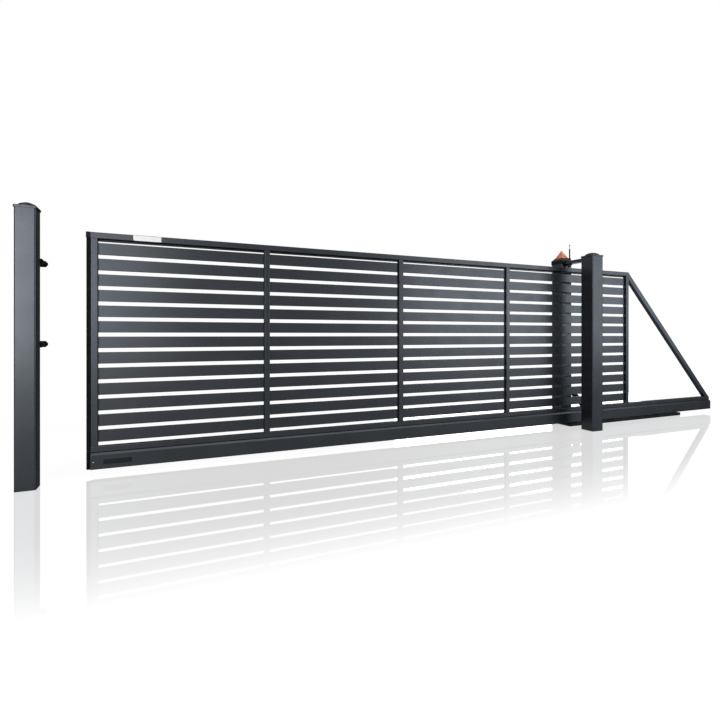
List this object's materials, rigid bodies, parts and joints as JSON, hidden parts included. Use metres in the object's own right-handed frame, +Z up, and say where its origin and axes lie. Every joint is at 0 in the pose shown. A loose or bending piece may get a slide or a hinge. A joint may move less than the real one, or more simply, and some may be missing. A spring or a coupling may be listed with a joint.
{
  "type": "sliding driveway gate",
  "caption": "Cantilever sliding driveway gate: slatted leaf with braced tail on a slotted track rail, guide posts with arm and warning lamp, and a receiving post with catches.",
  "frame": {"origin": "on the ground, under the base's front beam, in the leaf's middle plane, midway along the guide posts", "axes": "+X along the leaf, the way it opens; +Y to the back; +Z up"},
  "size_m": [6.666, 0.504, 1.813],
  "materials": {
    "anthracite_paint": "satin powder coat",
    "black_rubber": "matt",
    "black_plastic": "fine texture",
    "orange_lens": "clear prismatic",
    "zinc_plated_steel": "zinc plated",
    "grey_nylon": "turned"
  },
  "bodies": {
    "fixed_frame": {"base_front_beam": "anthracite_paint", "base_rear_beam": "anthracite_paint", "rear_post_seat": "anthracite_paint", "base_cross_beams": "anthracite_paint", "knee_brace": "anthracite_paint", "front_guide_post": "anthracite_paint", "front_guide_post_cap": "anthracite_paint", "rear_guide_post": "anthracite_paint", "receiving_post": "anthracite_paint", "receiving_post_cap": "anthracite_paint", "lower_catch_bracket": "anthracite_paint", "lower_catch_prongs": "black_rubber", "upper_catch_bracket": "anthracite_paint", "upper_catch_prongs": "black_rubber", "guide_arm": "anthracite_paint", "guide_roller_hanger": "black_plastic", "guide_roller": "grey_nylon", "lamp_housing": "black_plastic", "lamp_lens": "orange_lens", "aerial": "black_plastic", "carriage_1_frame": "anthracite_paint", "carriage_1_wheels": "zinc_plated_steel", "carriage_2_frame": "anthracite_paint", "carriage_2_wheels": "zinc_plated_steel"},
    "leaf": {"top_rail": "anthracite_paint", "bottom_rail": "anthracite_paint", "leading_stile": "anthracite_paint", "trailing_stile": "anthracite_paint", "mullion_1": "anthracite_paint", "mullion_2": "anthracite_paint", "mullion_3": "anthracite_paint", "mullion_4": "anthracite_paint", "bottom_rail_end_cap": "black_plastic", "slats_bay_1": "anthracite_paint", "slats_bay_2": "anthracite_paint", "slats_bay_3": "anthracite_paint", "slats_bay_4": "anthracite_paint", "slats_bay_5": "anthracite_paint", "track_rail": "anthracite_paint", "track_front_plug": "black_plastic", "track_rear_cap": "black_plastic", "top_guide_channel": "anthracite_paint", "leading_edge_strip": "black_rubber", "leading_edge_cap": "black_plastic", "tail_brace": "anthracite_paint"}
  },
  "joints": [
    {"name": "leaf_slide", "type": "slide", "parent": "fixed_frame", "child": "leaf", "axis": [1, 0, 0], "range_m": [-0.3, 4.1]}
  ]
}
